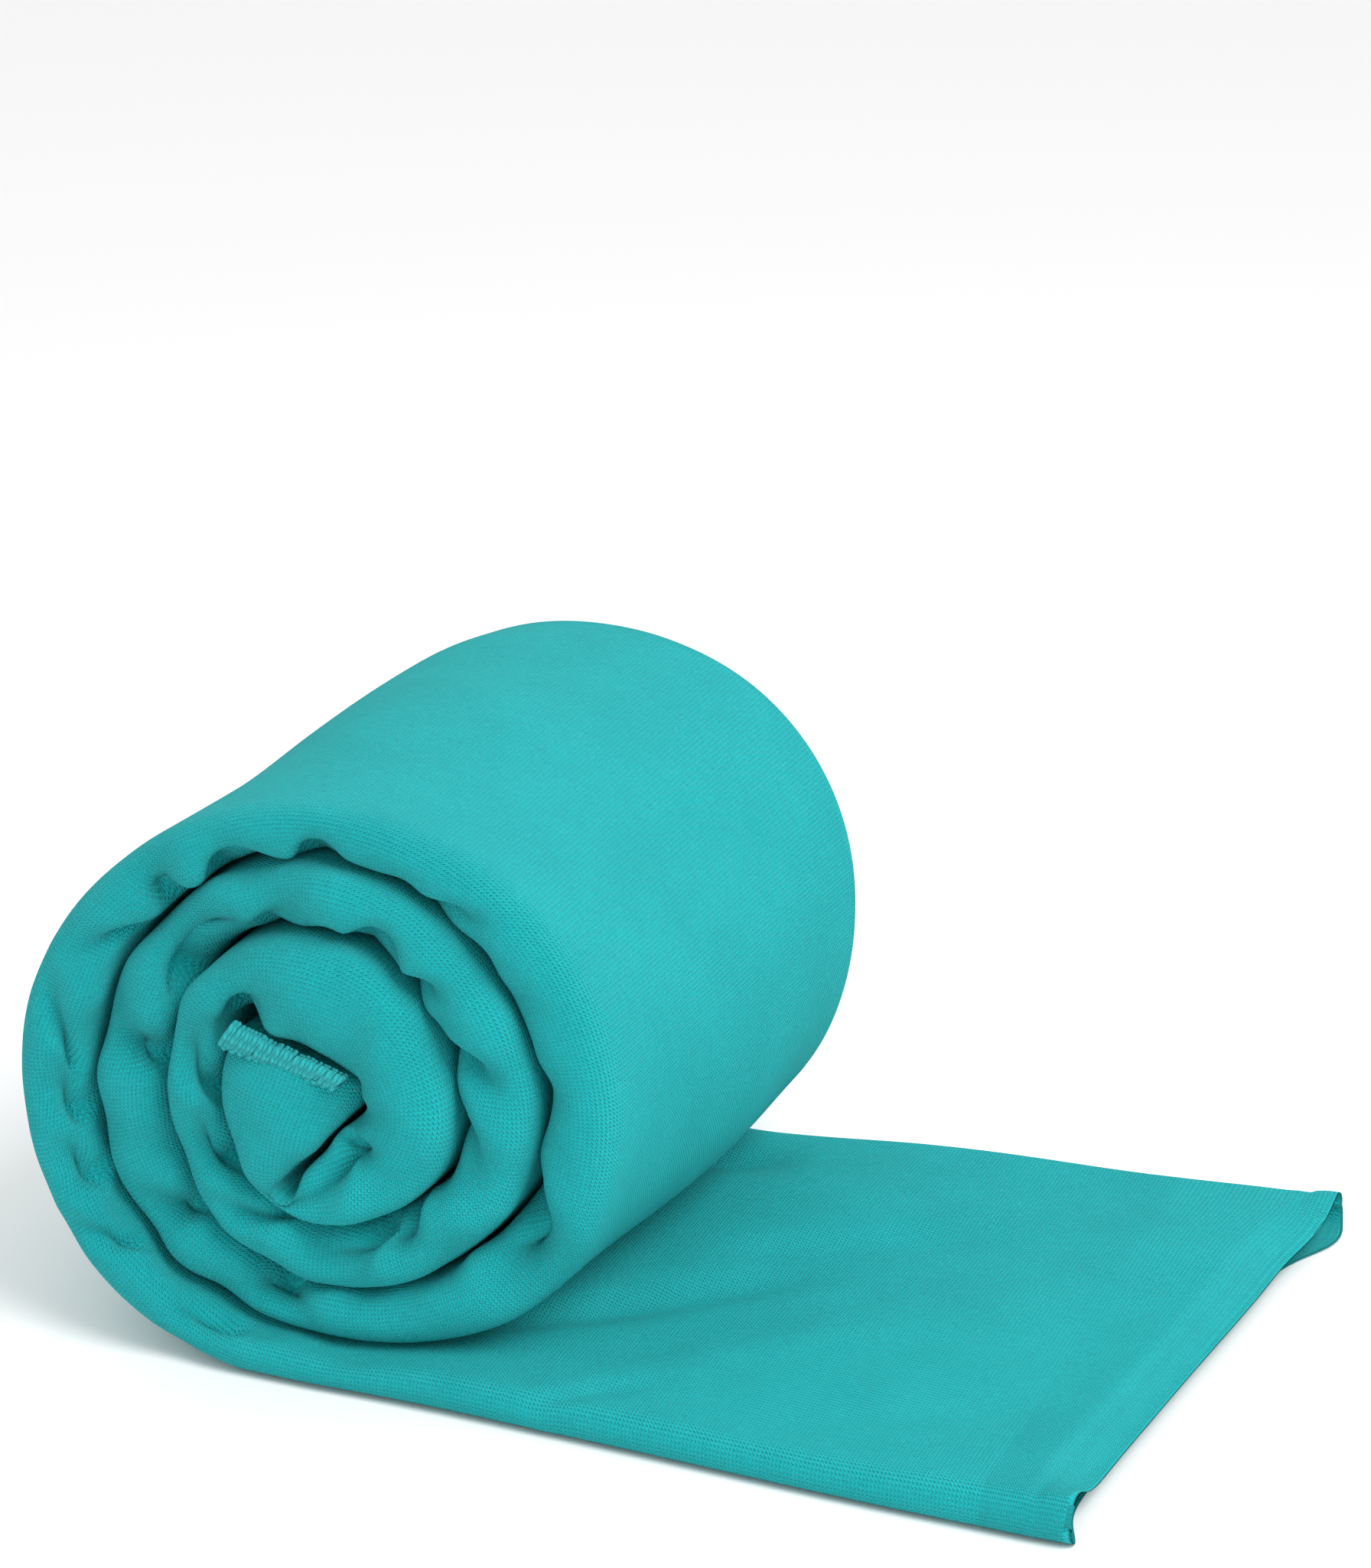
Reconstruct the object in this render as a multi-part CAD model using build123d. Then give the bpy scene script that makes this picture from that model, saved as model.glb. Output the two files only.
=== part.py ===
from build123d import *
import math
import os

os.makedirs("parts", exist_ok=True)

# A quick-dry towel, folded lengthwise in three into a strip and rolled up,
# with its last stretch lying free on the table.
# The strip is cut into short lengths that are hinged end to end, so that the roll can open.
# +X is towards the free end, Y runs along the roll's axis, Z is up and the table is at z = 0.

# Driving dimensions, mm and degrees
STRIP_WIDTH = 190.0  # the folded strip, fold to fold
COIL_THICKNESS = 18.5  # three lofty layers in the roll
TURN_PITCH = 20.5  # how far the roll shrinks inwards per turn
ROLL_RADIUS = 87.5  # from the spiral's centre down to the table
BEND = 60.0  # rest angle between two neighbouring lengths of the roll
COIL_COUNT = 16  # hinged lengths after the one that rests on the table
JOINT_GAP = 0.4  # cloth left out at each hinge line

TAIL_THICKNESS = 12.0  # the same three layers lying flat
UNDER_ROLL = 19.5  # from the spiral's centre to where the layers thin out
TAIL_START = 57.5  # the same to the free end's first hinge, clear of the roll
TAIL_COUNT = 4  # hinged lengths of the free end
TAIL_LENGTH = 38.0  # hinge to hinge
TAIL_BEND = 28.0  # how far each length of the free end can wrap up
TAIL_WIDTH = 208.0  # the strip spreads a little at its free end
TAIL_NEAR = 206.0  # from the spiral's centre to the free end's near corner
TAIL_FAR = 236.0  # the same for its far corner

HEM_WIDTH = 7.0  # band covered by the overlock stitches
HEM_THICKNESS = 3.0
SIDE_HEM_LENGTH = 17.0  # how much of the side hem shows in the roll's core
CORE_HEM_HEIGHT = 10.0  # the end hem where it is doubled over inside the core
LOBE_LENGTH = 28.0  # the bunched end of the strip, inside the roll
LOBE_THICKNESS = 15.0
LOBE_TILT = -20.0
LOBE_OFFSET = Vector(-4.1, 0, 3.2)  # from the spiral's centre

ROLL_CENTRE = Vector(-76.5, 0, ROLL_RADIUS)  # this x centres the whole towel on the origin
MARGIN = 2.0  # how far a cutting outline runs past the cloth


def outer_radius(index):
    """Distance from the spiral's centre to the outside of one length of the strip."""
    return ROLL_RADIUS - TURN_PITCH * index * BEND / 360


def hinge_distance(index):
    """Distance from the spiral's centre to the line between that length's two hinges.

    The hinges lie half way through the cloth where two lengths meet.
    """
    half_bend = math.cos(math.radians(BEND / 2))
    outside = outer_radius(index)
    return (outside * half_bend + outside - COIL_THICKNESS) / 2


def outward(index):
    """Direction from the spiral's centre to that length, clockwise from straight down."""
    angle = math.radians(index * BEND)
    return Vector(-math.sin(angle), 0, -math.cos(angle))


def along(index):
    """Direction in which that length runs, away from the free end."""
    angle = math.radians(index * BEND)
    return Vector(-math.cos(angle), 0, math.sin(angle))


def coil_hinge(index):
    """Where length number index is hinged to the one before it."""
    before, after = hinge_distance(index - 1), hinge_distance(index)
    bend = math.radians(BEND)
    slide = (after * math.cos(bend) - before) / math.sin(bend)
    return ROLL_CENTRE + outward(index) * after + along(index) * slide


def tail_hinge(index):
    """Where length number index of the free end is hinged to the one before it."""
    reach = TAIL_START + TAIL_LENGTH * (index - 1)
    return Vector(ROLL_CENTRE.X + reach, 0, TAIL_THICKNESS / 2)


def prism(corners, width):
    """The outline through these corners, drawn out along Y to both sides."""
    side = Face(Wire.make_polygon(corners, close=True))
    return extrude(side, amount=width, dir=(0, 1, 0), both=True)


def rounded_bar(start, end, widths, thickness):
    """A flat bar with rounded fold edges, between two points on its middle line."""
    direction = (end - start).normalized()
    sections = []
    for place, width in ((start, widths[0]), (end, widths[1])):
        plane = Plane(origin=place, x_dir=(0, 1, 0), z_dir=direction)
        sections.append(plane * SlotOverall(width, thickness))
    if widths[0] == widths[1]:
        return extrude(sections[0], amount=(end - start).length)
    return loft(sections)


def coil_length(index):
    """One length of the roll: flat inside, round outside.

    Its ends are square outside the hinge lines and slope back inside them,
    so that two neighbours meet face to face both rolled up and laid flat.
    """
    start, end = coil_hinge(index), coil_hinge(index + 1)
    direction, out = along(index), outward(index)
    outside = outer_radius(index) - hinge_distance(index)
    inside = outside - COIL_THICKNESS
    lean = math.tan(math.radians(BEND / 2))
    gap = JOINT_GAP / 2
    corners = [
        start + direction * gap + out * (outside + MARGIN),
        end - direction * gap + out * (outside + MARGIN),
        end - direction * gap,
        end + direction * ((inside - MARGIN) * lean - gap) + out * (inside - MARGIN),
        start - direction * ((inside - MARGIN) * lean - gap) + out * (inside - MARGIN),
        start + direction * gap,
    ]
    middle = out * (outside + inside) / 2
    reach = direction * MARGIN
    widths = (STRIP_WIDTH, STRIP_WIDTH)
    bar = rounded_bar(start + middle - reach, end + middle + reach, widths, COIL_THICKNESS)
    around = Plane(origin=ROLL_CENTRE, x_dir=(1, 0, 0), z_dir=(0, 1, 0))
    drum = extrude(around * Circle(outer_radius(index)), amount=STRIP_WIDTH, both=True)
    return bar & prism(corners, STRIP_WIDTH) & drum


def base_length():
    """The length that carries the roll: thick under the roll, thinner towards the free end."""
    left, right = coil_hinge(1), tail_hinge(1)
    step = ROLL_CENTRE.X + UNDER_ROLL
    gap = JOINT_GAP / 2
    top = COIL_THICKNESS + MARGIN
    left_lean = math.tan(math.radians(BEND / 2))
    under_roll = [
        Vector(left.X + gap, 0, -MARGIN),
        Vector(step, 0, -MARGIN),
        Vector(step, 0, top),
        Vector(left.X + gap + (top - left.Z) * left_lean, 0, top),
        Vector(left.X + gap, 0, left.Z),
    ]
    thin_top = TAIL_THICKNESS + MARGIN
    right_lean = math.tan(math.radians(TAIL_BEND / 2))
    beside_roll = [
        Vector(step, 0, -MARGIN),
        Vector(right.X - gap, 0, -MARGIN),
        Vector(right.X - gap, 0, right.Z),
        Vector(right.X - gap - (thin_top - right.Z) * right_lean, 0, thin_top),
        Vector(step, 0, thin_top),
    ]
    start, end = Vector(left.X - MARGIN, 0, 0), Vector(right.X + MARGIN, 0, 0)
    widths = (STRIP_WIDTH, STRIP_WIDTH)
    half_thick, half_thin = Vector(0, 0, COIL_THICKNESS / 2), Vector(0, 0, TAIL_THICKNESS / 2)
    thick = rounded_bar(start + half_thick, end + half_thick, widths, COIL_THICKNESS)
    thin = rounded_bar(start + half_thin, end + half_thin, widths, TAIL_THICKNESS)
    return (thick & prism(under_roll, STRIP_WIDTH)) + (thin & prism(beside_roll, STRIP_WIDTH))


def tail_length(index):
    """One length of the free end. The last one is cut off at a slant."""
    last = index == TAIL_COUNT
    start, end = tail_hinge(index), tail_hinge(index + (2 if last else 1))
    spread = (TAIL_WIDTH - STRIP_WIDTH) / TAIL_COUNT
    widths = (STRIP_WIDTH + spread * (index - 1), STRIP_WIDTH + spread * index)
    bar = rounded_bar(start, end, widths, TAIL_THICKNESS)
    gap = JOINT_GAP / 2
    top = TAIL_THICKNESS + MARGIN
    lean = (top - start.Z) * math.tan(math.radians(TAIL_BEND / 2))
    corners = [
        Vector(start.X + gap, 0, -MARGIN),
        Vector(end.X - gap, 0, -MARGIN),
        Vector(end.X - gap, 0, end.Z),
        Vector(end.X - gap - lean, 0, top),
        Vector(start.X + gap + lean, 0, top),
        Vector(start.X + gap, 0, start.Z),
    ]
    piece = bar & prism(corners, TAIL_WIDTH)
    if not last:
        return piece
    near, far = free_corners(0)
    cut = Plane(origin=near, z_dir=(far - near).cross(Vector(0, 0, 1)))
    return split(piece, bisect_by=cut, keep=Keep.BOTTOM)


def free_corners(height):
    """The near and far corners of the free end, at that height."""
    near = Vector(ROLL_CENTRE.X + TAIL_NEAR, -TAIL_WIDTH / 2, height)
    far = Vector(ROLL_CENTRE.X + TAIL_FAR, TAIL_WIDTH / 2, height)
    return near, far


def tail_end_hem():
    """The turned edge along the free end: a bar against the slanting cut."""
    near, far = free_corners(TAIL_THICKNESS / 2)
    run = (far - near).normalized()
    normal = run.cross(Vector(0, 0, 1))
    origin = near + run * TAIL_THICKNESS / 2 + normal * HEM_THICKNESS / 2
    plane = Plane(origin=origin, x_dir=normal, z_dir=run)
    section = Rectangle(HEM_THICKNESS, TAIL_THICKNESS - MARGIN)
    return extrude(plane * section, amount=(far - near).length - TAIL_THICKNESS)


def bar_across(centre, run, section, depth):
    """A bar along Y, from the near fold edge, with its section's length along run."""
    origin = Vector(centre.X, -STRIP_WIDTH / 2, centre.Z)
    return extrude(Plane(origin=origin, x_dir=run, z_dir=(0, 1, 0)) * section, amount=depth)


def core_parts():
    """The strip's inner end, bunched up in the middle of the roll."""
    last = COIL_COUNT + 1
    tilt = math.radians(LOBE_TILT)
    lobe_run = Vector(math.cos(tilt), 0, math.sin(tilt))
    lobe_up = Vector(-math.sin(tilt), 0, math.cos(tilt))
    lobe_centre = ROLL_CENTRE + LOBE_OFFSET
    hem_centre = lobe_centre + lobe_up * (LOBE_THICKNESS + HEM_THICKNESS) / 2
    tip = coil_hinge(last + 1) + along(last) * HEM_THICKNESS * 0.75
    return {
        "core_fold": coil_length(last),
        "core_lobe": bar_across(
            lobe_centre, lobe_run, SlotOverall(LOBE_LENGTH, LOBE_THICKNESS), STRIP_WIDTH
        ),
        "core_side_overlock": bar_across(
            hem_centre, lobe_run, Rectangle(SIDE_HEM_LENGTH, HEM_THICKNESS), HEM_WIDTH
        ),
        "core_end_hem": bar_across(
            tip, outward(last), Rectangle(CORE_HEM_HEIGHT, HEM_THICKNESS), STRIP_WIDTH
        ),
    }


def build_parts():
    """Every node of the assembly, by name."""
    parts = {"base_strip": base_length()}
    for index in range(1, COIL_COUNT + 1):
        parts[f"coil_{index:02d}"] = coil_length(index)
    parts.update(core_parts())
    for index in range(1, TAIL_COUNT + 1):
        parts[f"tail_{index:02d}"] = tail_length(index)
    parts["tail_end_hem"] = tail_end_hem()
    return parts


if __name__ == "__main__":
    for name, solid in build_parts().items():
        export_step(solid, f"parts/{name}.step")
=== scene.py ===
import math

import bpy
import numpy as np
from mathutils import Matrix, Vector


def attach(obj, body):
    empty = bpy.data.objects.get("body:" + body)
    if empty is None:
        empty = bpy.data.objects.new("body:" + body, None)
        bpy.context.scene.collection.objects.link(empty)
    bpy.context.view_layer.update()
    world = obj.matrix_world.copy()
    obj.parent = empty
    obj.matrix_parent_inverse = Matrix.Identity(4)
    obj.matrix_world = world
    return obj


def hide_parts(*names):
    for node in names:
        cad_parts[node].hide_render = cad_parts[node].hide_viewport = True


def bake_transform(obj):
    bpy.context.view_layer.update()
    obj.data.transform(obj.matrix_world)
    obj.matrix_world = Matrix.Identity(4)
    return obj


# A quick-dry towel, folded lengthwise in three and rolled up, with its free end lying flat.
# The cloth is one long surface: stations run along the strip from the free end into the roll,
# and each station is a closed section round the folded strip.
# Everything here is in millimetres until a mesh is made. Angles run clockwise, seen from the
# front, from straight below the roll's centre, and go on counting from turn to turn.

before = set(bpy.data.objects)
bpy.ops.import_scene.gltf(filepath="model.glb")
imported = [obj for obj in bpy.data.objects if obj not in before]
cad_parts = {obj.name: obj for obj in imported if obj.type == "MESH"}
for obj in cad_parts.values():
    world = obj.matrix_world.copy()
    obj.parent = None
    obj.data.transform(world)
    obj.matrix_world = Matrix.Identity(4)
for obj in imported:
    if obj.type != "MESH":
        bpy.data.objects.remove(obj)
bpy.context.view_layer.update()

MM = 0.001  # metres
CENTRE_X, CENTRE_Z = -76.5, 87.5  # the spiral's centre, as in the CAD
GAP = 0.4  # between neighbouring turns
SLACK = 0.5  # how far the roll's cloth lies inside its radii, as room for its waves
STEP = 60  # degrees of roll that each coil body carries
COIL_COUNT = 16
TAIL_HINGES = [-19, 19, 57, 95]  # x of the free end's hinges

# Outside of the strip at every eighth of a turn, from the spiral's centre, near the roll's two ends
FRONT_RADII = [
    87.5, 96, 91.5, 80, 77, 77.5, 83, 84,
    78, 78, 71, 61.5, 59.5, 57, 62, 60,
    62, 56, 47.5, 42, 40, 37, 37.5, 40,
    43, 37, 30.5, 24,
]
BACK_RADII = [
    87.5, 87, 80, 74, 78, 88, 91, 94,
    78, 72, 64, 59, 58, 60, 65, 67,
    60, 52, 45, 40, 39, 40.5, 43, 44,
    41, 36, 30.5, 25,
]
EIGHTHS = np.arange(len(FRONT_RADII)) * 45.0
RADII_Y = 90  # the front radii are for y = -90 and the back radii for y = 90
FLOOR_GAP, LOWEST = 0.3, 0.2  # the strip's underside above the table, and its lowest creased point

# Inside of the innermost cloth, where it no longer follows a spiral: angle, x, z
CORE_LINE = [
    (765, -102.0, 61.0),
    (810, -107.0, 87.5),
    (834, -105.0, 99.5),
    (855, -98.5, 100.8),
    (880, -88.5, 96.4),
    (905, -79.0, 93.4),
    (930, -71.2, 91.0),
    (955, -66.0, 88.2),
    (980, -64.9, 84.2),
    (1005, -66.4, 79.6),
    (1030, -70.2, 75.0),
    (1055, -76.2, 68.4),
    (1080, -82.9, 60.2),
    (1100, -87.2, 54.6),
    (1112, -88.0, 55.5),
    (1125, -84.2, 60.8),
    (1145, -77.0, 68.9),
    (1165, -70.1, 76.0),
    (1177, -66.2, 80.6),
    (1186, -65.2, 85.6),
]
LAST_ANGLE = 1186
CORE_ANGLE = 1020  # from here the cloth rides on the core

# Where the fold edges are, by angle: front y, back y
EDGES = [
    (0, -103, 95),
    (180, -92, 93),
    (360, -93, 92),
    (720, -96, 90),
    (1080, -99, 88),
    (1150, -99, 88),
    (1186, -95, 86),
]

TOP_SWELL = 3.0  # how far the roll's top swells half way along
BELLY = 3.2  # how far the inner turns belly out half way along
CORE_SHIFT_X, CORE_SHIFT_Z = 3.6, -2.7  # how far the core line is off there
FOLD_SHARE, THINNEST_FOLD, DEEPEST_FOLD = 0.62, 3, 12  # a fold's depth, from the strip's thickness
DEEPEST_BACK_FOLD = 11

TAIL_TOP = 11.5  # height of the cloth lying free
TAIL_NEAR, TAIL_SPREAD = -103, 12.5  # y of its near fold beside the roll, and how far that spreads
END_X = 150  # x of the free end before its edge is slanted
EDGE_TOP, EDGE_RUN = 6.3, 15  # height of the edge where it is turned down, and how far that reaches
NEAR_CORNER, FAR_CORNER = -113, 104  # y of the free end's two corners
# The free end's outline: its slanting edge as (y, x), and its far side as (x, y)
END_EDGE = [(-117, 136), (-97, 137), (-40, 142.5), (30, 150.5), (58, 153.5), (82, 158.5), (107, 159)]
FAR_SIDE = [(-77, 95), (-19, 90), (34, 99), (103, 102), (165, 102)]

# Long shallow folds on the free end: from (x, y) to (x, y), width and depth (minus is a ridge)
TAIL_FOLDS = [
    (-50, -75, 45, 5, 8, 4.2),
    (-5, -98, 95, 0, 12, -1.5),
    (-18, -110, 18, -84, 4, 1.8),
    (-34, 55, 2, 66, 8, 4.0),
    (10, -2, 80, 40, 9, 2.3),
    (45, -98, 125, -60, 10, 1.0),
]

# Rows of the free end's turned-in rim: stations back from the edge, how far inside the cloth
# and how far past the edge
LIP_ROWS = [(8, 2.3, 0), (4, 2.3, 0), (1, 2.3, 0), (0, 2.2, 0.3), (0, 1.4, 1.1), (0, 0.5, 0.8)]
# Rows that close the strip's inner end: how far closed, and how far past the end
CAP_ROWS = [(0.1, 1.4), (0.3, 2.4), (0.6, 2.9), (0.999, 3.1)]

RIB_SPACING, STITCH_LENGTH = 0.00125, 0.0011  # of the knit, in metres


def smooth_curve(knots, values, at):
    """A smooth curve through the values at the knots, read at the given places."""
    knots, values = np.asarray(knots, float), np.asarray(values, float)
    slopes = np.gradient(values, knots)
    at = np.clip(at, knots[0], knots[-1])
    low = np.clip(np.searchsorted(knots, at, side="right") - 1, 0, len(knots) - 2)
    step = knots[low + 1] - knots[low]
    t = (at - knots[low]) / step
    t2, t3 = t * t, t * t * t
    start = values[low] * (2 * t3 - 3 * t2 + 1) + slopes[low] * step * (t3 - 2 * t2 + t)
    return start + values[low + 1] * (3 * t2 - 2 * t3) + slopes[low + 1] * step * (t3 - t2)


def ease(value, start, end):
    """0 before start, 1 after end, smooth between."""
    t = np.clip((value - start) / (end - start), 0, 1)
    return t * t * (3 - 2 * t)


def hump(value, middle, width):
    return np.exp(-(((value - middle) / width) ** 2))


def half_way(y):
    """1 half way along the roll, fading towards its ends."""
    return hump(y, 0, 45)


def radius(angle, y):
    """Outside of the strip, from the spiral's centre."""
    front = smooth_curve(EIGHTHS, FRONT_RADII, angle)
    back = smooth_curve(EIGHTHS, BACK_RADII, angle)
    r = front + (back - front) * np.clip((y + RADII_Y) / (2 * RADII_Y), 0, 1)
    r = r + TOP_SWELL * hump(angle, 168, 28) * ease(y, -50, 5) * (1 - ease(y, 60, 95))
    turn = np.radians(angle)
    loose = 1 - hump(angle, 0, 25) - hump(angle, 360, 25)
    waves = 0.8 * np.sin(2.3 * turn + y / 31 + 1) + 0.5 * np.sin(4.1 * turn - y / 21)
    # so that no light shows between the turns, seen along the roll
    belly = BELLY * ease(angle, 200, 420) * half_way(y)
    return r + waves * loose + belly


def spiral_point(angle, r):
    turn = np.radians(angle)
    return CENTRE_X - r * np.sin(turn), CENTRE_Z - r * np.cos(turn)


def roll_outside(angle, y):
    x, z = spiral_point(angle, radius(angle, y))
    return x, np.maximum(z, FLOOR_GAP)


def roll_inside(angle, y):
    """The cloth's inner side: against the next turn, or along the core line."""
    x, z = spiral_point(angle, radius(angle + 360, y) + GAP)
    line = np.array(CORE_LINE)
    core_x = smooth_curve(line[:, 0], line[:, 1], angle)
    core_z = smooth_curve(line[:, 0], line[:, 2], angle)
    core_x = core_x + CORE_SHIFT_X * half_way(y)
    core_z = core_z + CORE_SHIFT_Z * half_way(y)
    core = ease(angle, 780, 825)
    return x + (core_x - x) * core, z + (core_z - z) * core


def tail_end(y):
    """x of the free end's edge: slanting, with a slight double bend."""
    edge = np.array(END_EDGE)
    return smooth_curve(edge[:, 0], edge[:, 1], y)


def tail_fold(x, y, x0, y0, x1, y1, width, depth):
    """Depth of one long fold, which fades in at its start and widens and fades out at its end."""
    run = np.array([x1 - x0, y1 - y0], float)
    length = np.hypot(*run)
    run /= length
    forward = ((x - x0) * run[0] + (y - y0) * run[1]) / length
    aside = (x - x0) * run[1] - (y - y0) * run[0]
    fade = ease(forward, -0.2, 0.15) * (1 - ease(forward, 0.55, 1.2))
    return depth * fade * hump(aside, 0, width * (0.8 + 0.5 * np.clip(forward, 0, 1)))


def tail_top(x, y):
    """Height of the cloth lying free; under the roll it meets the roll's underside."""
    under_roll = CENTRE_Z - radius(np.full_like(y, 360.0), y) - GAP
    waves = 0.7 * np.sin(x / 27 + y / 40) + 0.5 * np.sin(x / 16 - y / 25 + 2) - 2.4 * ease(y, 40, 92)
    for fold in TAIL_FOLDS:
        waves = waves - tail_fold(x, y, *fold)
    free = TAIL_TOP + waves * ease(x, -60, -10)
    return under_roll + (free - under_roll) * ease(x, -76.5, -38)


# ---------------------------------------------------------------- the strip's stations
END_START = 114  # x where the free end's last piece begins
TAIL_CUTS = [(a + b) / 2 for a, b in zip(TAIL_HINGES, TAIL_HINGES[1:])]  # between its other pieces
TAIL_STEP = 3.5  # between stations
FINE = 2
# How many stations there are on the end piece, on the outermost coil and on the core
END_STATIONS, COIL_STATIONS, CORE_STATIONS = 12, 26, 60


def stations():
    """(x of the free end's stations, angles of the roll's stations)."""
    cuts = [END_START] + TAIL_CUTS[::-1] + [CENTRE_X]
    xs = list(np.linspace(END_X, END_START, END_STATIONS * FINE, endpoint=False))
    for a, b in zip(cuts, cuts[1:]):
        xs += list(np.linspace(a, b, round((a - b) / TAIL_STEP) * FINE, endpoint=False))
    angles = []
    for coil in range(COIL_COUNT + 1):
        count = (COIL_STATIONS - coil) * FINE
        angles += list(np.linspace(coil * STEP, (coil + 1) * STEP, count, endpoint=False))
    angles += list(np.linspace(CORE_ANGLE, LAST_ANGLE, CORE_STATIONS * FINE))
    return np.array(xs), np.array(angles)


FACE_COUNT, FRONT_COUNT, BACK_COUNT = 36 * FINE, 20 * FINE, 12 * FINE
APEX = FACE_COUNT + FRONT_COUNT // 2  # the front fold's top
CROWDING = 0.14  # how much the points on a face crowd towards the front


def section_layout():
    """Round the section: how far across the thickness, and where along the width.

    Returns (through, side, place): through is 0 outside and 1 inside, side is 0 on the flat
    faces, -1 in the front fold and 1 in the back fold, and place runs from the back to the
    front on a face, or is the angle in a fold.
    """
    even = np.linspace(0, 1, FACE_COUNT, endpoint=False)
    to_front = even + CROWDING * np.sin(np.pi * even)
    bend = np.linspace(0, np.pi, FRONT_COUNT, endpoint=False)
    back_bend = np.linspace(0, np.pi, BACK_COUNT, endpoint=False)
    front_fold, back_fold = (1 - np.cos(bend)) / 2, (1 + np.cos(back_bend)) / 2
    through = np.concatenate([np.zeros(FACE_COUNT), front_fold, np.ones(FACE_COUNT), back_fold])
    side = np.repeat([0, -1, 0, 1], [FACE_COUNT, FRONT_COUNT, FACE_COUNT, BACK_COUNT])
    from_front = even - CROWDING * np.sin(np.pi * even)
    place = np.concatenate([to_front, bend, 1 - from_front, back_bend])
    return through, side, place


def section_y(front, back, front_depth, back_depth):
    """y of every point of every section."""
    through, side, place = section_layout()
    front, back = front[:, None], back[:, None]
    front_depth, back_depth = front_depth[:, None], back_depth[:, None]
    flat = (back - back_depth) + ((front + front_depth) - (back - back_depth)) * place
    near = front + front_depth * (1 - np.sin(place) ** 0.7)
    far = back - back_depth * (1 - np.sin(place) ** 0.9)
    return np.where(side == 0, flat, np.where(side < 0, near, far))


def fold_depth(thickness):
    return np.clip(FOLD_SHARE * thickness, THINNEST_FOLD, DEEPEST_FOLD)


def tail_grid(xs):
    """The free end's sections, one for each x."""
    through = section_layout()[0]
    front = TAIL_NEAR - TAIL_SPREAD * ease(xs, -76, END_X)
    far_side = np.array(FAR_SIDE)
    back = smooth_curve(far_side[:, 0], far_side[:, 1], xs)
    depth = np.full(len(xs), fold_depth(TAIL_TOP))
    y = section_y(front, back, depth, depth)
    x = np.repeat(xs[:, None], y.shape[1], axis=1)
    past = np.clip((x - END_START) / (END_X - END_START), 0, 1)
    x = x + past * (tail_end(y) - END_X)
    top = tail_top(x, y) - 0.7 * hump(x, tail_end(y) - 8, 1.7)
    # the end edge is turned down in the middle and stands open in loops at both corners
    near_end = ease(x, tail_end(y) - EDGE_RUN, tail_end(y))
    middle = 1 - hump(y, NEAR_CORNER, 13) - hump(y, FAR_CORNER, 26)
    top = top - near_end**1.5 * middle * (top - EDGE_TOP)
    top = top + near_end * (1.6 * hump(y, -106, 9) + 2.2 * hump(y, 94, 14))
    bottom = FLOOR_GAP + near_end * 0.5 * hump(y, 88, 20)
    z = bottom + (top - bottom) * through
    x = x + near_end * (1 - through) * (4 * hump(y, 86, 14) - 5 * middle)
    return np.stack([x, y, z], axis=2)


def roll_grid(angles):
    """The roll's sections, one for each angle."""
    through = section_layout()[0]
    table = np.array(EDGES, float)
    front = smooth_curve(table[:, 0], table[:, 1], angles)
    back = smooth_curve(table[:, 0], table[:, 2], angles)
    front_y = np.full_like(angles, -RADII_Y)
    out_x, out_z = roll_outside(angles, front_y)
    in_x, in_z = roll_inside(angles, front_y)
    depth = fold_depth(np.hypot(out_x - in_x, out_z - in_z))
    tail_depth = fold_depth(TAIL_TOP)
    depth = tail_depth + (depth - tail_depth) * ease(angles, 0, 25)
    y = section_y(front, back, depth, np.minimum(depth, DEEPEST_BACK_FOLD))
    wide = np.repeat(angles[:, None], y.shape[1], axis=1)
    out_x, out_z = roll_outside(wide, y)
    in_x, in_z = roll_inside(wide, y)
    x = out_x + (in_x - out_x) * through
    z = out_z + (in_z - out_z) * through
    return np.stack([x, y, z], axis=2)


def grid_normals(grid):
    """Normals of the whole surface, pointing out of the strip."""
    along = np.gradient(grid, axis=0)
    around = np.roll(grid, -1, axis=1) - np.roll(grid, 1, axis=1)
    normal = np.cross(along, around)
    normal /= np.maximum(np.linalg.norm(normal, axis=2, keepdims=True), 1e-9)
    outwards = grid - grid.mean(axis=1, keepdims=True)
    row = len(grid) // 2
    if (normal[row] * outwards[row]).sum() < 0:
        normal = -normal
    return normal


def run_lengths(grid):
    """(distance along the strip, distance round the section from the front fold's top)."""
    middle = (grid[:, 0] + grid[:, FACE_COUNT + FRONT_COUNT]) / 2
    along = np.concatenate([[0], np.cumsum(np.linalg.norm(np.diff(middle, axis=0), axis=1))])
    ring = np.concatenate([grid, grid[:, :1]], axis=1)
    around = np.cumsum(np.linalg.norm(np.diff(ring, axis=1), axis=2), axis=1)
    around = np.concatenate([np.zeros((len(grid), 1)), around], axis=1)
    return along, around - around[:, APEX : APEX + 1]


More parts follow.
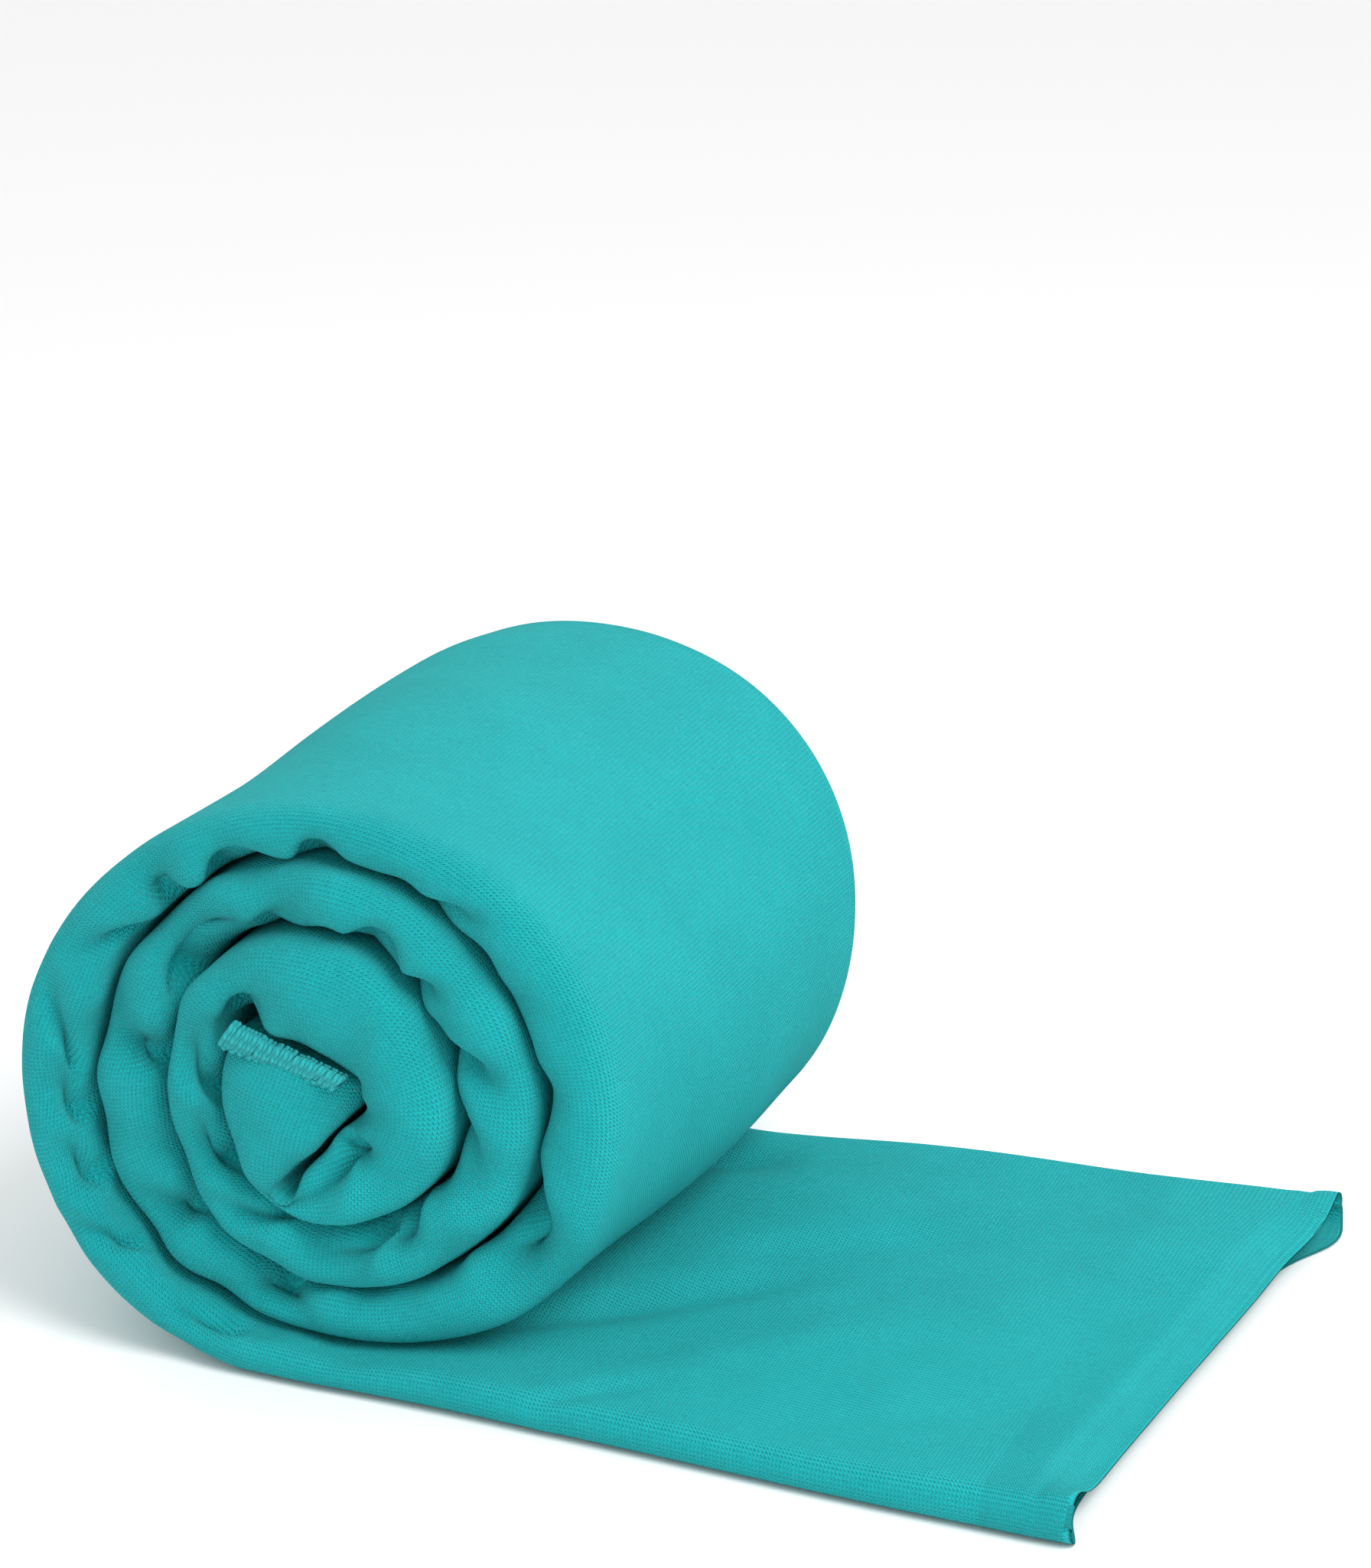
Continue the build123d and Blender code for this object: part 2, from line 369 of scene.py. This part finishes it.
# Creases pressed into the cloth at the roll's front: angle, distance round the section from
# the fold's top to where it starts and ends (minus is the inner side), lean along the strip,
# width and depth
PUCKERS = [
    (120, -13, 4, -14, 3.5, 3.0),
    (134, -14, 6, 4, 4.0, 4.5),
    (149, -14, -3, 12, 4.0, 4.5),
    (175, -14, -2, 8, 4.0, 4.5),
    (205, -14, -2, 22, 2.5, 3.5),
    (85, -11, 5, 24, 2.4, 3.5),
    (74, -13, 0, 12, 4.5, 5.0),
    (61, -13, 1, 10, 4.5, 5.0),
    (46, -11, 5, 13, 2.2, 2.8),
    (20, -10, -2, 15, 4.0, 3.0),
    (294, -15, 6, 27, 6.5, 8.0),
    (477, -14, 3, 21, 6.5, 10.0),
    (488, -14, -4, -3, 4.0, 4.0),
    (447, -13, 12, 8, 4.2, 5.5),
    (402, -12, 9, 8, 3.5, 5.5),
    (372, -13, 2, 2, 4.2, 5.5),
    (609, -14, 2, 14, 3.5, 4.5),
    (578, -14, -1, 12, 3.5, 4.0),
    (554, -14, -4, 10, 4.2, 5.0),
    (515, -14, 1, 14, 5.5, 3.2),
    (640, -13, 4, 16, 4.5, 3.0),
    (700, -14, 2, 18, 5.5, 4.5),
    (684, -14, 2, 16, 5.0, 3.8),
    (845, -15, 1, 12, 4.2, 5.5),
    (796, -12, 5, 19, 4.2, 4.6),
    (765, -13, 1, 12, 4.2, 5.2),
    (737, -11, 6, 20, 2.4, 3.0),
    (1033, -14, -4, 2, 3.6, 5.5),
    (1045, -9, 1, 27, 3.4, 5.0),
]
CREASE_SCALE = 1.6  # all the depths above are multiplied by this


def pressed(grid, marks, along, around):
    """How deep the cloth is pressed in at each point."""
    depth = np.zeros(grid.shape[:2])
    for position, start, end, lean, width, deep in marks:
        run = np.array([lean, end - start], float)
        length = np.hypot(*run)
        run /= length
        ds, dv = along[:, None] - position, -around - start
        forward = (ds * run[0] + dv * run[1]) / length
        aside = np.abs(ds * run[1] - dv * run[0])
        spread = width * (0.85 + 1.1 * np.clip(forward, 0, 1))
        fade = ease(forward, -0.3, 0.0) * (1 - ease(forward, 0.3, 1.45))
        crease = CREASE_SCALE * deep * fade * np.exp(-((aside / spread) ** 2))
        depth = np.cbrt(depth**3 + crease**3)
    return depth


tail_xs, roll_angles = stations()
grid = np.concatenate([tail_grid(tail_xs), roll_grid(roll_angles)])
tail_rows = len(tail_xs)
along, around = run_lengths(grid)
BEFORE_ROLL, AFTER_ROLL = -1.0, 9999.0  # stands for the angle of a station outside the roll
station_angle = np.concatenate([np.full(tail_rows, BEFORE_ROLL), roll_angles])


def at_angle(angle):
    return float(np.interp(angle, roll_angles, along[tail_rows:]))


def fold_waves(along, around):
    """The soft unevenness of the rounded front fold."""
    s = along[:, None]
    outermost = 1 - ease(s, at_angle(330), at_angle(400))
    on_fold = (1 - ease(around, 11, 26)) * ease(around, -22 + 20 * outermost, -8 + 18 * outermost)
    long_waves = 0.8 * np.sin(s / 7.3 + around / 9) + 0.55 * np.sin(s / 4.4 - around / 7 + 1)
    return on_fold * (long_waves + 0.2 * np.sin(s / 2.6 + around / 5 + 2)) * ease(s, 180, 260)


marks = [(at_angle(angle), *rest) for angle, *rest in PUCKERS]
normals = grid_normals(grid)
waves_and_creases = fold_waves(along, around[:, :-1]) - pressed(grid, marks, along, around[:, :-1])
relief = waves_and_creases - SLACK
grid = grid + normals * (relief * ease(along, 150, 230)[:, None])[:, :, None]
grid[:, :, 2] = np.maximum(grid[:, :, 2], LOWEST)


# ---------------------------------------------------------------- the ends of the strip
def inward(grid_row):
    """Direction towards the inside of one closed section."""
    step = np.roll(grid_row, -1, axis=0) - np.roll(grid_row, 1, axis=0)
    spread = grid_row - grid_row.mean(axis=0)
    axis = np.cross(spread[FACE_COUNT], spread[2 * FACE_COUNT + FRONT_COUNT - 2])
    axis /= np.linalg.norm(axis)
    side = np.cross(step, axis)
    side /= np.maximum(np.linalg.norm(side, axis=1, keepdims=True), 1e-9)
    if (side * spread).sum() > 0:
        side = -side
    return side


def free_lip(grid):
    """Rows that turn the free end's rim back inside, so that the cloth shows its thickness."""
    forward = np.array([1.0, 0, 0])
    rows = []
    for back, inside, out in LIP_ROWS:
        row = grid[back * FINE]
        side = inward(row)
        side[:, 0] = 0
        plug = hump(row[:, 1:2], NEAR_CORNER, 10)  # the rim nearly closes at the near corner
        rows.append(row + side * inside * (1 + 1.3 * plug) + forward * out * (1 + 1.2 * plug))
    return np.array(rows)


def core_cap(row):
    """Rows that close the strip's inner end."""
    outer = row[FACE_COUNT // 2]
    inner = row[FACE_COUNT + FRONT_COUNT + FACE_COUNT // 2]
    push = np.array([outer[2] - inner[2], 0, inner[0] - outer[0]])
    push /= np.linalg.norm(push)
    if push[2] < 0:
        push = -push
    middle = np.repeat([(outer + inner) / 2], len(row), axis=0)
    middle[:, 1] = np.clip(row[:, 1], row[:, 1].min() + 6, row[:, 1].max() - 6)
    return np.array([row + (middle - row) * closed + push * out for closed, out in CAP_ROWS])


lip = free_lip(grid)
cap = core_cap(grid[-1])
grid = np.concatenate([lip, grid, cap])
normals = grid_normals(grid)
around = np.concatenate([np.repeat(around[:1], len(lip), 0), around, np.repeat(around[-1:], len(cap), 0)])
lip_run = -np.cumsum(np.linalg.norm(np.diff(lip[:, FACE_COUNT], axis=0), axis=1))[::-1]
along = np.concatenate([np.append(lip_run, -0.6), along, along[-1] + np.arange(1, len(cap) + 1) * 2.0])
before, after = np.full(len(lip), BEFORE_ROLL), np.full(len(cap), AFTER_ROLL)
station_angle = np.concatenate([before, station_angle, after])
tail_rows += len(lip)


# ---------------------------------------------------------------- materials
def add(tree, kind, values=(), **settings):
    node = tree.nodes.new(kind)
    for name, value in settings.items():
        setattr(node, name, value)
    for place, value in enumerate(values):
        if value is None:
            continue
        if isinstance(value, bpy.types.NodeSocket):
            tree.links.new(value, node.inputs[place])
        else:
            node.inputs[place].default_value = value
    return node


def maths(tree, operation, *values):
    return add(tree, "ShaderNodeMath", values, operation=operation).outputs[0]


def knit_height(tree, uv):
    """Plain knit: columns of V stitches running along the strip."""
    parts = add(tree, "ShaderNodeSeparateXYZ", [uv])
    u, v = parts.outputs[0], parts.outputs[1]
    drift = add(tree, "ShaderNodeTexNoise", [uv, None, 22.0, 1.0, 0.5])
    wander = maths(tree, "MULTIPLY", drift.outputs[0], 0.0016)
    column = maths(tree, "MULTIPLY", maths(tree, "ADD", v, wander), 1 / RIB_SPACING)
    offset = maths(tree, "SUBTRACT", maths(tree, "FRACT", column), 0.5)
    arm = maths(tree, "ABSOLUTE", offset)
    stitch = maths(tree, "MULTIPLY", u, 1 / STITCH_LENGTH)
    phase = maths(tree, "ADD", stitch, maths(tree, "MULTIPLY", arm, 1.5))
    wave = maths(tree, "SINE", maths(tree, "MULTIPLY", phase, 2 * math.pi))
    ridge = maths(tree, "COSINE", maths(tree, "MULTIPLY", offset, 2 * math.pi))
    return maths(tree, "ADD", maths(tree, "MULTIPLY", wave, 0.42), maths(tree, "MULTIPLY", ridge, 0.36))


def cloth_material():
    material = bpy.data.materials.new("knitted_microfibre")
    material.use_nodes = True
    tree = material.node_tree
    shader = tree.nodes["Principled BSDF"]
    uv = add(tree, "ShaderNodeUVMap", uv_map="strip").outputs[0]
    knit = knit_height(tree, uv)
    patches = add(tree, "ShaderNodeTexNoise", [uv, None, 35.0, 4.0, 0.6]).outputs[0]
    nap = add(tree, "ShaderNodeTexNoise", [uv, None, 420.0, 3.0, 0.6]).outputs[0]
    fuzz = add(tree, "ShaderNodeTexNoise", [uv, None, 2600.0, 2.0, 0.6]).outputs[0]
    tone = maths(tree, "ADD", maths(tree, "MULTIPLY", patches, 0.45), maths(tree, "MULTIPLY", nap, 0.35))
    # painted shade: the knit's height also sets the colour, darker in the grooves between the stitches
    # and lighter on their ridges
    tone = maths(tree, "ADD", tone, maths(tree, "MULTIPLY", knit, 0.26))
    tone = maths(tree, "ADD", tone, maths(tree, "MULTIPLY", fuzz, 0.14))
    ramp = add(tree, "ShaderNodeValToRGB", [tone])
    ramp.color_ramp.elements[0].position = 0.22
    ramp.color_ramp.elements[0].color = (0.002, 0.355, 0.375, 1)
    ramp.color_ramp.elements[1].position = 0.78
    ramp.color_ramp.elements[1].color = (0.010, 0.515, 0.535, 1)
    tree.links.new(ramp.outputs[0], shader.inputs["Base Color"])
    shader.inputs["Roughness"].default_value = 0.92
    shader.inputs["Specular IOR Level"].default_value = 0.12
    shader.inputs["Sheen Weight"].default_value = 0.28
    shader.inputs["Sheen Roughness"].default_value = 0.55
    shader.inputs["Sheen Tint"].default_value = (0.22, 0.92, 0.94, 1)
    height = maths(tree, "ADD", knit, maths(tree, "MULTIPLY", fuzz, 0.7))
    height = maths(tree, "ADD", height, maths(tree, "MULTIPLY", nap, 1.2))
    bump = add(tree, "ShaderNodeBump")
    bump.inputs["Strength"].default_value = 1.0
    bump.inputs["Distance"].default_value = 0.0005
    tree.links.new(height, bump.inputs["Height"])
    tree.links.new(bump.outputs[0], shader.inputs["Normal"])
    return material


def thread_material():
    material = bpy.data.materials.new("overlock_thread")
    material.use_nodes = True
    tree = material.node_tree
    shader = tree.nodes["Principled BSDF"]
    uv = add(tree, "ShaderNodeUVMap", uv_map="strip").outputs[0]
    parts = add(tree, "ShaderNodeSeparateXYZ", [uv])
    lengthwise = maths(tree, "MULTIPLY", parts.outputs[0], 2200.0)
    round_the_thread = maths(tree, "MULTIPLY", parts.outputs[1], 1500.0)
    ply = maths(tree, "SINE", maths(tree, "ADD", lengthwise, round_the_thread))
    noise = add(tree, "ShaderNodeTexNoise", [uv, None, 900.0, 2.0, 0.5]).outputs[0]
    # painted shade: the ply's twist, which is also the bump's height, darkens the colour in the grooves
    # between the plies; the noise is the thread's own uneven tone
    tone = maths(tree, "ADD", maths(tree, "MULTIPLY", ply, 0.2), noise)
    ramp = add(tree, "ShaderNodeValToRGB", [tone])
    ramp.color_ramp.elements[0].position = 0.25
    ramp.color_ramp.elements[0].color = (0.005, 0.26, 0.28, 1)
    ramp.color_ramp.elements[1].position = 0.8
    ramp.color_ramp.elements[1].color = (0.015, 0.43, 0.44, 1)
    tree.links.new(ramp.outputs[0], shader.inputs["Base Color"])
    shader.inputs["Roughness"].default_value = 0.6
    shader.inputs["Specular IOR Level"].default_value = 0.3
    shader.inputs["Sheen Weight"].default_value = 0.08
    bump = add(tree, "ShaderNodeBump")
    bump.inputs["Strength"].default_value = 0.5
    bump.inputs["Distance"].default_value = 0.0002
    tree.links.new(ply, bump.inputs["Height"])
    tree.links.new(bump.outputs[0], shader.inputs["Normal"])
    return material


CLOTH = cloth_material()
THREAD = thread_material()


# ---------------------------------------------------------------- cloth pieces
def grid_object(name, points, point_normals, us, vs, material):
    """A mesh of the closed sections between two stations. vs has one column more than points."""
    rows, columns = points.shape[:2]
    mesh = bpy.data.meshes.new(name)
    i, j = np.meshgrid(np.arange(rows - 1), np.arange(columns), indexing="ij")
    after = (j + 1) % columns
    near, far = i * columns, (i + 1) * columns
    faces = np.stack([near + j, near + after, far + after, far + j], 2).reshape(-1, 4)
    coords = (points * MM).reshape(-1, 3)
    first = faces[len(faces) // 2]
    turn = np.cross(coords[first[1]] - coords[first[0]], coords[first[2]] - coords[first[0]])
    flip = turn @ point_normals.reshape(-1, 3)[first[0]] < 0
    corner_u = np.stack([us[i], us[i], us[i + 1], us[i + 1]], 2).reshape(-1, 4)
    corner_v = np.stack([vs[i, j], vs[i, j + 1], vs[i + 1, j + 1], vs[i + 1, j]], 2).reshape(-1, 4)
    if flip:
        faces, corner_u, corner_v = faces[:, ::-1], corner_u[:, ::-1], corner_v[:, ::-1]
    mesh.from_pydata(coords.tolist(), [], faces.tolist())
    layer = mesh.uv_layers.new(name="strip")
    layer.data.foreach_set("uv", np.stack([corner_u, corner_v], 2).reshape(-1) * MM)
    mesh.polygons.foreach_set("use_smooth", np.ones(len(faces), bool))
    mesh.normals_split_custom_set_from_vertices(point_normals.reshape(-1, 3).tolist())
    mesh.materials.append(material)
    obj = bpy.data.objects.new(name, mesh)
    bpy.context.collection.objects.link(obj)
    return obj


def cloth_piece(name, first, last):
    rows = slice(first, last + 1)
    return grid_object(name, grid[rows], normals[rows], along[rows], around[rows], CLOTH)


def declare(obj, first, last, *nodes):
    """Hides the CAD parts that the piece stands in for. Every cloth piece is a stretch of the towel,
    folded in three across its width.

    Two of the three layers show. The third lies hidden between them and isn't modelled.
    """
    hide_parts(*nodes)


def row_at_x(x):
    return int(np.argmin(np.abs(grid[:tail_rows, APEX, 0] - x)))


def row_at_angle(angle):
    return int(np.argmin(np.abs(station_angle - angle)))


def bend_over(obj, first, last, direction, swap=False):
    """Measures where a piece's two end stations lie along the direction and bakes the piece's placement
    into its mesh.
    """
    direction = np.array(direction, float)
    origin = np.array([CENTRE_X, 0, CENTRE_Z])
    begin = (grid[first] - origin) @ direction
    finish = (grid[last] - origin) @ direction
    if swap:
        begin, finish = finish, begin
    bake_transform(obj)


tail_cuts = [tail_rows] + [row_at_x(x) for x in TAIL_CUTS] + [row_at_x(END_START)]
for number in range(1, len(tail_cuts)):
    first, last = tail_cuts[number], tail_cuts[number - 1]
    piece = cloth_piece(f"free_end_{number:02d}", first, last)
    before = "base_strip" if number == 1 else f"tail_{number - 1:02d}"
    bend_over(piece, first, last, (1, 0, 0), swap=True)
    base = ["base_strip"] if number == 1 else []
    declare(piece, first, last, f"tail_{number:02d}", *base)
edge = cloth_piece("free_end_edge", 0, tail_cuts[-1])
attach(edge, f"tail_{len(TAIL_HINGES):02d}")
declare(edge, 0, tail_cuts[-1], "tail_end_hem")

for number in range(1, COIL_COUNT + 2):
    first, last = row_at_angle((number - 1) * STEP), row_at_angle(number * STEP)
    core = number > COIL_COUNT
    piece = cloth_piece("roll_into_core" if core else f"roll_{number:02d}", first, last)
    turn = math.radians(number * STEP - STEP / 2)
    before = "base_strip" if number == 1 else f"coil_{number - 1:02d}"
    after = "core" if core else f"coil_{number:02d}"
    bend_over(piece, first, last, (-math.cos(turn), 0, math.sin(turn)))
    declare(piece, first, last, "core_fold" if core else after)
first, last = row_at_angle(CORE_ANGLE), len(grid) - 1
bunch = cloth_piece("core_bunch", first, last)
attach(bunch, "core")
declare(bunch, first, last, "core_lobe", "core_end_hem")


# ---------------------------------------------------------------- overlock stitches
def tube(path, thickness, sides=8):
    """Rings of points round a path."""
    path = np.asarray(path, float)
    run = np.gradient(path, axis=0)
    run /= np.linalg.norm(run, axis=1, keepdims=True)
    up = np.cross(run, [0.3, 1.0, 0.2])
    up /= np.linalg.norm(up, axis=1, keepdims=True)
    aside = np.cross(run, up)
    spin = np.linspace(0, 2 * np.pi, sides, endpoint=False)
    taper = np.ones(len(path))
    taper[0] = taper[-1] = 0.25
    ring = np.cos(spin)[None, :, None] * up[:, None] + np.sin(spin)[None, :, None] * aside[:, None]
    return path[:, None] + ring * (thickness * taper)[:, None, None], ring


def thread_object(name, paths, thickness):
    parts = []
    for path in paths:
        points, out = tube(path, thickness)
        length = np.concatenate([[0], np.cumsum(np.linalg.norm(np.diff(path, axis=0), axis=1))])
        rim = np.linspace(0, 2 * np.pi * thickness, points.shape[1] + 1)
        obj = grid_object(name, points, out, length, np.repeat(rim[None], len(path), 0), THREAD)
        parts.append(obj)
    bpy.ops.object.select_all(action="DESELECT")
    for part in parts:
        part.select_set(True)
    bpy.context.view_layer.objects.active = parts[0]
    bpy.ops.object.join()
    return parts[0]


HEM_START, HEM_END = np.array([-103.5, -93.0, 98.0]), np.array([-70.0, -93.5, 88.8])
STITCHES = 14
THREAD_RADIUS = 0.78


def overlock_paths():
    """Loops of thread over the hem's edge, and the thread that links them along its foot."""
    run = HEM_END - HEM_START
    direction = run / np.linalg.norm(run)
    across = np.cross(direction, [0, 1, 0])
    out = np.array([0, -1.0, 0])
    chance = np.random.default_rng(7)
    paths = []
    for stitch in range(STITCHES):
        part = (stitch + 0.5) / STITCHES
        foot = HEM_START + run * part + across * chance.normal(0, 0.25)
        half = 4.1 - 2.0 * part + chance.normal(0, 0.15)
        bend = np.linspace(0, np.pi, 14)[:, None]
        for shift, lift in ((-0.6, 2.3), (0.6, 1.9)):
            lean = direction * (1.5 + chance.normal(0, 0.25)) * np.cos(bend)
            arc = foot + across * half * np.cos(bend) + out * lift * np.sin(bend) ** 0.7 + lean
            paths.append(arc + direction * shift)
    part = np.linspace(0, 1, STITCHES * 8)[:, None]
    wave = np.sin(part * STITCHES * 2 * np.pi)
    half = 3.9 - 1.9 * part
    paths.append(HEM_START + run * part - across * (half + 0.6 * wave) + out * (0.9 + 0.5 * wave))
    return paths


threads = thread_object("overlock_stitches", overlock_paths(), THREAD_RADIUS)
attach(threads, "core")
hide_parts("core_side_overlock")


# ---------------------------------------------------------------- stage, light and camera
def plain_material(name, colour, roughness):
    material = bpy.data.materials.new(name)
    material.use_nodes = True
    shader = material.node_tree.nodes["Principled BSDF"]
    shader.inputs["Base Color"].default_value = (*colour, 1)
    shader.inputs["Roughness"].default_value = roughness
    return material


bpy.ops.mesh.primitive_plane_add(size=12, location=(0, 0, 0))
floor = bpy.context.object
floor.name = "floor"
floor.data.materials.append(plain_material("pale_floor", (0.94, 0.94, 0.94), 0.9))

world = bpy.data.worlds.new("studio")
world.use_nodes = True
world.node_tree.nodes["Background"].inputs[0].default_value = (1, 1, 1, 1)
world.node_tree.nodes["Background"].inputs[1].default_value = 0.95
bpy.context.scene.world = world


def soft_light(name, place, size, power):
    light = bpy.data.lights.new(name, "AREA")
    light.shape = "DISK"
    light.size = size
    light.energy = power
    obj = bpy.data.objects.new(name, light)
    obj.location = place
    obj.rotation_mode = "QUATERNION"
    obj.rotation_quaternion = (Vector(place) - Vector((0, 0, 0.08))).to_track_quat("Z", "Y")
    bpy.context.collection.objects.link(obj)


soft_light("key", (0.85, -0.45, 1.15), 0.8, 14.5)

AZIMUTH, ELEVATION = math.radians(20.5), math.radians(19.0)
camera = bpy.data.objects.new("camera", bpy.data.cameras.new("camera"))
bpy.context.collection.objects.link(camera)
camera.data.lens = 97.49
camera.data.sensor_width = 36
camera.location = (0.37874, -1.03379, 0.52934)
back_direction = Vector(
    (
        math.sin(AZIMUTH) * math.cos(ELEVATION),
        -math.cos(AZIMUTH) * math.cos(ELEVATION),
        math.sin(ELEVATION),
    )
)
camera.rotation_mode = "QUATERNION"
camera.rotation_quaternion = (-back_direction).to_track_quat("-Z", "Y")
bpy.context.scene.camera = camera
bpy.context.scene.view_settings.view_transform = "Standard"
